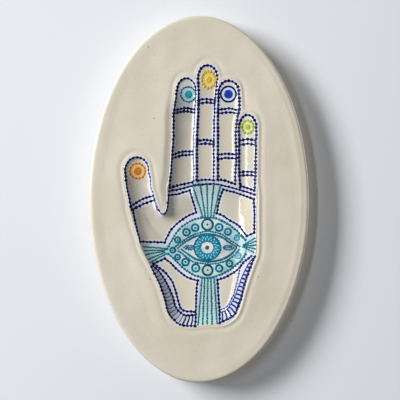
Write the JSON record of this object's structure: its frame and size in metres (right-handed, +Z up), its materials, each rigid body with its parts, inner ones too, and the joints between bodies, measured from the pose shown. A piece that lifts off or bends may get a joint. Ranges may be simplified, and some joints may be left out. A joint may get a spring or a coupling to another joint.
{
  "type": "hamsa wall plaque",
  "caption": "Oval ceramic wall plaque with a glazed hamsa hand pressed into its face and dotted in enamel, hung by a swinging wire bail in the back.",
  "frame": {"origin": "the point on the wall plane where the hanging nail enters the wall, under the bail's arch", "axes": "+Z up, the plaque's face looks along -Y, +X to the viewer's right; the wall is the plane Y = 0"},
  "size_m": [0.15, 0.0196, 0.25],
  "materials": {
    "satin_clay": "satin cream glaze over clay",
    "bare_clay": "unglazed, matte",
    "gloss_glaze": "gloss white glaze",
    "orange_enamel": "gloss enamel",
    "teal_enamel": "gloss enamel",
    "yellow_enamel": "gloss enamel",
    "cobalt_enamel": "gloss enamel",
    "lime_enamel": "gloss enamel",
    "aqua_enamel": "gloss enamel wash",
    "white_enamel": "gloss enamel",
    "turquoise_enamel": "gloss enamel",
    "wire": "drawn wire",
    "rubber": "soft moulded rubber"
  },
  "bodies": {
    "plaque": {"plaque_slab": "satin_clay", "foot_ring": "bare_clay", "left_lug": "bare_clay", "right_lug": "bare_clay", "wall_bumpers": "rubber", "hand_glaze": "gloss_glaze", "thumb_spot": "orange_enamel", "index_spot": "teal_enamel", "middle_spot": "yellow_enamel", "ring_spot": "cobalt_enamel", "little_spot": "lime_enamel", "eye_panel": "aqua_enamel", "eye_white": "white_enamel", "eye_lids": "teal_enamel", "eye_iris": "turquoise_enamel", "eye_pupil": "cobalt_enamel", "eye_circlets": "cobalt_enamel", "palm_rays": "teal_enamel"},
    "bail": {"hanging_bail": "wire"}
  },
  "joints": [
    {"name": "bail_swing", "type": "hinge", "parent": "plaque", "child": "bail", "pos_m": [0, -0.00458, -0.02342], "axis": [-1, 0, 0], "range_deg": [0, 189]}
  ]
}
